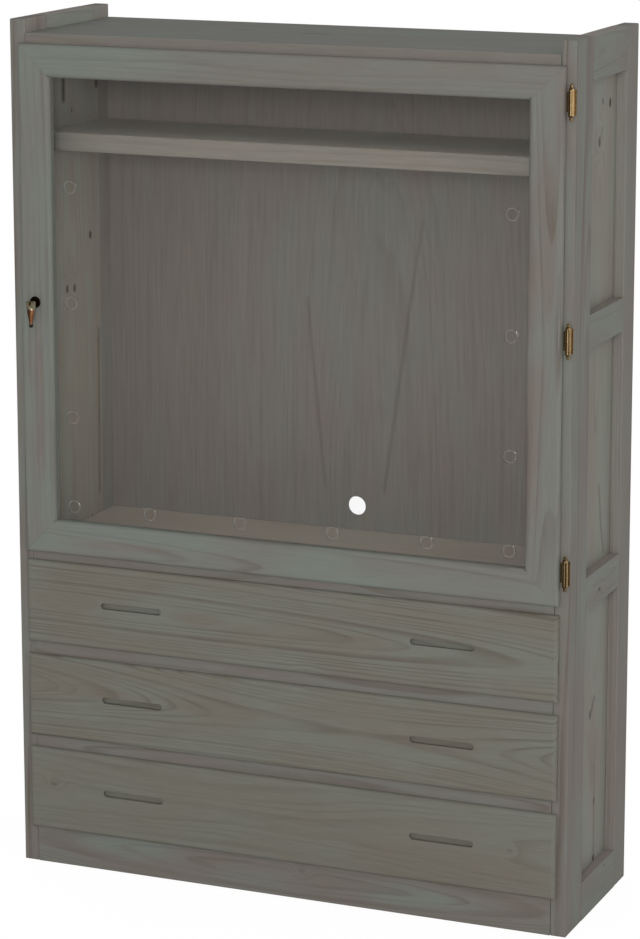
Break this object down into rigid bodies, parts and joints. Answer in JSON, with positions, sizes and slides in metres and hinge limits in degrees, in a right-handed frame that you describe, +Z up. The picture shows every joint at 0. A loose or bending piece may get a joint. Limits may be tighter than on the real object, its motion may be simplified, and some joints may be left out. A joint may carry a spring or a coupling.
{
  "type": "television wall unit",
  "caption": "Tall frame-and-panel pine cabinet: a glazed, vented locking door over a television bay with a shelf, and a bank of wide lipped drawers with finger slots below.",
  "frame": {"origin": "centre of the bounding box's base, on the floor", "axes": "+X to the right seen from the front, the front faces -Y, +Z up"},
  "size_m": [1.118, 0.3914, 1.651],
  "materials": {
    "stained_pine": "grey-green stain under a satin clear coat",
    "stained_plywood": "stained plywood, satin",
    "drawer_pine": "unstained, sealed",
    "runner_hardwood": "waxed",
    "clear_acrylic": "clear acrylic sheet, polished",
    "polished_brass": "polished",
    "dark_bronze": "dark bronze plating, smooth",
    "zinc_steel": "zinc plated"
  },
  "bodies": {
    "cabinet": {"left_front_stile": "stained_pine", "left_rear_stile": "stained_pine", "left_bottom_rail": "stained_pine", "left_lower_rail": "stained_pine", "left_upper_rail": "stained_pine", "left_top_rail": "stained_pine", "left_panel": "stained_pine", "right_front_stile": "stained_pine", "right_rear_stile": "stained_pine", "right_bottom_rail": "stained_pine", "right_lower_rail": "stained_pine", "right_upper_rail": "stained_pine", "right_top_rail": "stained_pine", "right_panel": "stained_pine", "top_board": "stained_pine", "deck_rail": "stained_pine", "tv_deck": "stained_pine", "shelf": "stained_pine", "toe_rail": "stained_pine", "lower_drawer_rail": "stained_pine", "upper_drawer_rail": "stained_pine", "back_panel": "stained_plywood", "left_runner_bottom": "runner_hardwood", "right_runner_bottom": "runner_hardwood", "left_runner_middle": "runner_hardwood", "right_runner_middle": "runner_hardwood", "left_runner_top": "runner_hardwood", "right_runner_top": "runner_hardwood", "hinge_bottom_frame_leaf": "polished_brass", "hinge_middle_frame_leaf": "polished_brass", "hinge_top_frame_leaf": "polished_brass", "lock_strike": "zinc_steel"},
    "door": {"door_left_stile": "stained_pine", "door_right_stile": "stained_pine", "door_top_rail": "stained_pine", "door_bottom_rail": "stained_pine", "door_glazing": "clear_acrylic", "hinge_bottom_door_leaf": "polished_brass", "hinge_middle_door_leaf": "polished_brass", "hinge_top_door_leaf": "polished_brass", "lock_housing": "dark_bronze", "lock_nut": "zinc_steel"},
    "lock": {"lock_plug": "dark_bronze", "lock_cam": "zinc_steel", "key": "polished_brass"},
    "key_grip": {"key_grip": "polished_brass"},
    "drawer_bottom": {"drawer_bottom_front": "stained_pine", "drawer_bottom_box": "drawer_pine", "drawer_bottom_bottom": "stained_plywood"},
    "drawer_middle": {"drawer_middle_front": "stained_pine", "drawer_middle_box": "drawer_pine", "drawer_middle_bottom": "stained_plywood"},
    "drawer_top": {"drawer_top_front": "stained_pine", "drawer_top_box": "drawer_pine", "drawer_top_bottom": "stained_plywood"}
  },
  "joints": [
    {"name": "door_hinge", "type": "hinge", "parent": "cabinet", "child": "door", "pos_m": [0.5505, -0.16683, 1.117], "axis": [0, 0, 1], "range_deg": [0, 170]},
    {"name": "lock_turn", "type": "hinge", "parent": "door", "child": "lock", "pos_m": [-0.509, -0.17392, 1.117], "axis": [0, 1, 0], "range_deg": [0, 90]},
    {"name": "key_grip_fold", "type": "hinge", "parent": "lock", "child": "key_grip", "pos_m": [-0.509, -0.19092, 1.117], "axis": [-1, 0, 0], "range_deg": [0, 180]},
    {"name": "drawer_bottom_slide", "type": "slide", "parent": "cabinet", "child": "drawer_bottom", "axis": [0, -1, 0], "range_m": [0, 0.26]},
    {"name": "drawer_middle_slide", "type": "slide", "parent": "cabinet", "child": "drawer_middle", "axis": [0, -1, 0], "range_m": [0, 0.26]},
    {"name": "drawer_top_slide", "type": "slide", "parent": "cabinet", "child": "drawer_top", "axis": [0, -1, 0], "range_m": [0, 0.26]}
  ]
}
